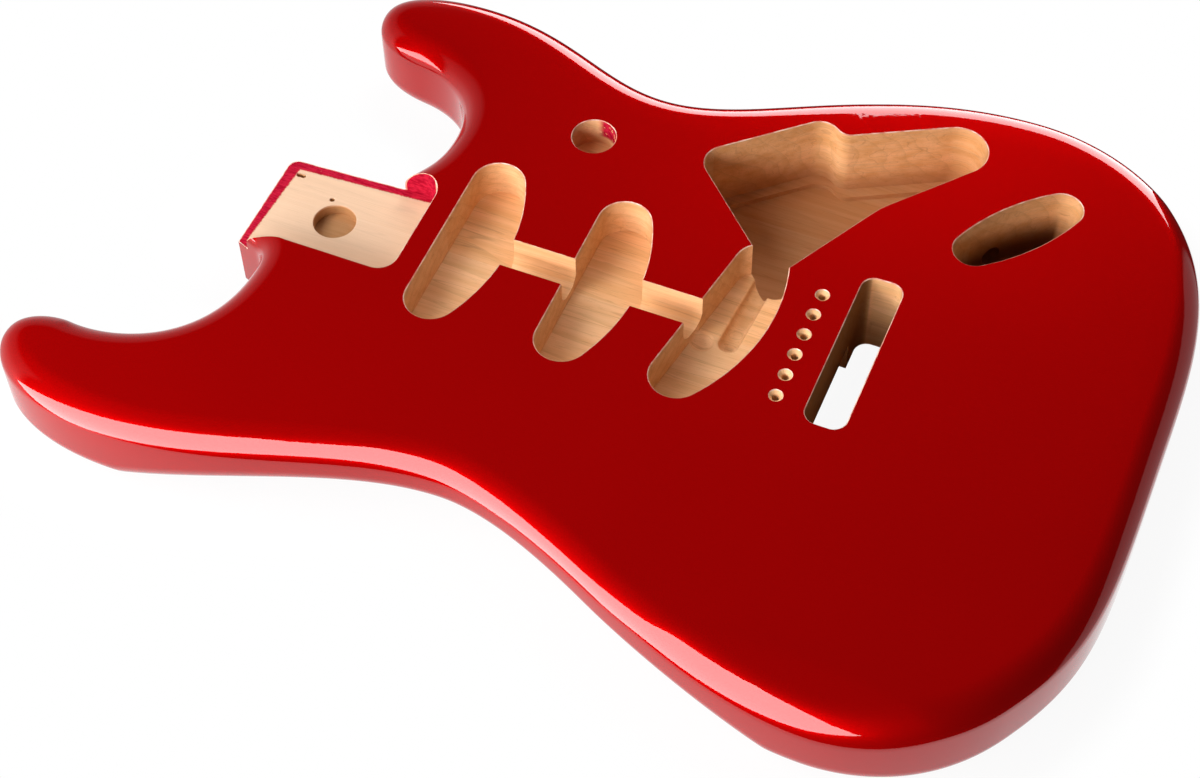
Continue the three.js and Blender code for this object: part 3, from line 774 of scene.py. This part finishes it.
# Each board's seed, pale wood and dark wood
TONES = {
    "stave_bass_edge": (1.3, (0.91, 0.56, 0.30, 1), (0.82, 0.46, 0.22, 1)),
    "stave_bass": (2.7, (0.93, 0.58, 0.32, 1), (0.84, 0.48, 0.24, 1)),
    "stave_treble": (4.1, (0.91, 0.54, 0.28, 1), (0.80, 0.43, 0.19, 1)),
    "stave_treble_edge": (5.9, (0.88, 0.48, 0.23, 1), (0.76, 0.37, 0.14, 1)),
}
bounds_y = (-WIDTH, *SEAMS, WIDTH)
for i, name in enumerate(STAVES):
    y0, y1 = bounds_y[i], bounds_y[i + 1]
    rect = np.array([(-LENGTH, y0), (LENGTH, y0), (LENGTH, y1), (-LENGTH, y1)])
    slab = stack("slab", [(rect, -THICK - OVER), (rect, OVER)])
    fix_normals(slab)
    piece = combine(copy_of(inner, "wood_" + name), [slab], "INTERSECT")
    bpy.data.objects.remove(slab)
    piece.data.materials.clear()
    piece.data.materials.append(wood("wood_of_" + name, *TONES[name]))
    piece.data.shade_smooth()
    piece.data.set_sharp_from_angle(angle=math.radians(30))
    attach(piece, "root")
    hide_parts(name)
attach(outer, "root")
for o in cuts + outer_trims + inner_trims + [inner]:
    bpy.data.objects.remove(o)


# ---------------------------------------------------------------- stage, light and camera
def distance(points, ring):
    """Distance from each point to a closed ring, 0 inside it."""
    best = np.full(len(points), 1e9)
    for a, b in zip(ring, np.roll(ring, -1, 0)):
        d = b - a
        along = np.clip(((points - a) @ d) / (d @ d + 1e-12), 0, 1)
        best = np.minimum(best, np.linalg.norm(points - a - along[:, None] * d, axis=1))
    best[inside(points, ring, 0)] = 0
    return best


# The floor: a sheet of small squares that reaches a little past the outline
SHEET_STEP = 5.0
gx = np.arange(-370.0, 205.0, SHEET_STEP)
gy = np.arange(-215.0, 215.1, SHEET_STEP)
grid = np.array([(x, y) for y in gy for x in gx])
away = distance(grid, outline(6)[0]) * MM
nx, ny = len(gx), len(gy)
quads = [(k, k + 1, k + nx + 1, k + nx) for k in range((ny - 1) * nx) if k % nx < nx - 1]
quads = [q for q in quads if away[list(q)].min() < SHEET_REACH + 0.0005]
floor = mesh_object("floor", np.c_[grid, np.full(len(grid), -THICK)], quads, [pale_floor()])
mark = floor.data.attributes.new("away", "FLOAT", "POINT")
mark.data.foreach_set("value", away.astype(np.float32))


def lamp(name, place, width, height, power):
    data = bpy.data.lights.new(name, "AREA")
    data.shape = "RECTANGLE"
    data.size, data.size_y, data.energy = width, height, power
    obj = bpy.data.objects.new(name, data)
    obj.matrix_world = place
    obj.visible_camera = False
    bpy.context.scene.collection.objects.link(obj)
    return obj


def softbox(name, at, aim, width, height, power):
    """Lamp that lights the object plainly and isn't seen in the lacquer."""
    turn = (Vector(aim) - Vector(at)).to_track_quat("-Z", "Y").to_matrix()
    obj = lamp(name, Matrix.Translation(at) @ turn.to_4x4(), width, height, power)
    obj.visible_glossy = False
    obj.visible_transmission = False


def panel(name, corners, radiance):
    """Lit panel through four corners in the outline's frame, seen in the lacquer alone."""
    c = (np.array(corners, float) + SHIFT) * MM
    mid = c.mean(0)
    wide, tall = (c[1] + c[2] - c[0] - c[3]) / 2, (c[3] + c[2] - c[0] - c[1]) / 2
    across = wide / np.linalg.norm(wide)
    out = np.cross(across, tall)
    out *= np.sign(out @ mid) / np.linalg.norm(out)
    up = np.cross(out, across)
    turn = Matrix([list(r) for r in np.c_[across, up, out]])
    width, height = np.linalg.norm(wide), np.linalg.norm(tall)
    place = Matrix.Translation(Vector(mid)) @ turn.to_4x4()
    power = 4 * width * height * radiance  # what makes the panel look as bright as radiance
    obj = lamp(name, place, width, height, power)
    obj.visible_diffuse = False


panel("front_panel",
      [(-1002, -941, -947), (-1442, -694, -392), (-178, -738, 630), (262, -984, 74)], 6.5)
panel("treble_panel",
      [(-535, 761, 85), (277, 1111, -272), (527, 1508, 685), (-285, 1159, 1042)], 5.5)
softbox("key_box", (-0.60, -0.30, 0.75), (-0.1, 0.0, 0.02), 0.5, 0.5, 4.5)
softbox("front_box", (-0.35, -0.75, 0.45), (0.0, 0.0, 0.02), 1.2, 0.35, 12)
softbox("treble_box", (-0.05, 0.95, 0.62), (0.0, 0.0, 0.02), 0.9, 0.4, 6)

# What surrounds the object, in degrees of azimuth (from +X towards +Y) and height. A colour ramp
# holds nothing below 0, so the heights of the card's top are given from CARD_FOOT.
WALL_SPAN = (114, 210, 5)
WALL_LEVELS = [(-60, 0.8), (-40, 0.7), (-10, 0.7), (0, 0.6), (12, 0.4), (34, 0.2), (44, 0.0)]
CARD_SPAN = (10, 64, 2)
CARD_TOP = [(10, 10), (20, 27), (30, 39), (35, 44), (40, 47), (50, 54), (62, 60)]
CARD_FOOT = -30.0
CARD_MIRRORED, CARD_FILL = 0.45, 0.4
DARKEST = 0.02
FILL_ABOVE, FILL_BELOW = 0.10, 0.88


def ramp(tree, value, stops):
    """Value read off a line through (value, result) stops."""
    low, high = stops[0][0], stops[-1][0]
    n = add(tree, "ShaderNodeMapRange", {"Value": value, "From Min": low, "From Max": high})
    r = add(tree, "ShaderNodeValToRGB", {0: n.outputs["Result"]})
    r.color_ramp.elements.remove(r.color_ramp.elements[1])
    for k, (at, level) in enumerate(stops):
        share = (at - low) / (high - low)
        e = r.color_ramp.elements[0] if k == 0 else r.color_ramp.elements.new(share)
        e.position = share
        e.color = (level, level, level, 1)
    return r.outputs[0]


def window(tree, value, low, high, soft):
    """1 between low and high, with soft sides."""
    start = rise(tree, value, low - soft, low + soft)
    end = rise(tree, value, high - soft, high + soft)
    return calc(tree, "SUBTRACT", start, end)


def either(tree, share, one, other):
    """One value where share is 1, the other where it is 0."""
    rest = calc(tree, "SUBTRACT", 1.0, share)
    return calc(tree, "ADD", product(tree, share, one), product(tree, rest, other))


def studio():
    """White to the camera, a wall, a card and a floor to the lacquer, a plain fill to the rest."""
    world = bpy.data.worlds.new("studio")
    world.use_nodes = True
    t = world.node_tree
    t.nodes.clear()
    way = add(t, "ShaderNodeTexCoord").outputs["Generated"]
    dx, dy, dz = add(t, "ShaderNodeSeparateXYZ", {0: way}).outputs[:3]
    turned_by = product(t, calc(t, "ARCTAN2", dy, dx), 180 / math.pi)
    azimuth = calc(t, "MODULO", calc(t, "ADD", turned_by, 360.0), 360.0)
    height = product(t, calc(t, "ARCSINE", dz), 180 / math.pi)

    wall = product(t, window(t, azimuth, *WALL_SPAN), ramp(t, height, WALL_LEVELS))
    over_foot = calc(t, "SUBTRACT", height, CARD_FOOT)
    below_top = rise(t, calc(t, "SUBTRACT", ramp(t, azimuth, CARD_TOP), over_foot), -2.0, 2.0)
    card = product(t, window(t, azimuth, *CARD_SPAN), below_top)
    under = calc(t, "ADD", rise(t, height, -48.0, -55.0), DARKEST)
    bright = calc(t, "MAXIMUM", wall, product(t, card, CARD_MIRRORED))
    mirrored = calc(t, "MAXIMUM", bright, under)
    below = rise(t, height, 8.0, -8.0)
    fill = calc(t, "MULTIPLY_ADD", below, FILL_BELOW - FILL_ABOVE, FILL_ABOVE)
    fill = calc(t, "MULTIPLY_ADD", card, CARD_FILL, fill)

    path = add(t, "ShaderNodeLightPath")
    level = either(t, reflected(t, path), mirrored, fill)
    strength = either(t, path.outputs["Is Camera Ray"], 1.0, level)
    sky = add(t, "ShaderNodeBackground", {"Color": (1, 1, 1, 1), "Strength": strength})
    out = add(t, "ShaderNodeOutputWorld")
    t.links.new(sky.outputs[0], out.inputs[0])
    return world


bpy.context.scene.world = studio()

# The camera solved from the photograph's perspective
cam_data = bpy.data.cameras.new("camera")
cam_data.sensor_width, cam_data.sensor_fit = 36, "HORIZONTAL"
cam_data.lens = 72.4413
cam_data.clip_start, cam_data.clip_end = 0.01, 50
cam = bpy.data.objects.new("camera", cam_data)
axes = Matrix(((0.9224681689, -0.3018298340, 0.2407306142),
               (0.3858726743, 0.7408976786, -0.5497025642),
               (-0.0124401195, 0.5999744837, 0.7999224102)))
cam.matrix_world = Matrix.Translation((0.248607, -0.590147, 0.827976)) @ axes.to_4x4()
bpy.context.scene.collection.objects.link(cam)
bpy.context.scene.camera = cam

bpy.context.scene.view_settings.view_transform = "Standard"
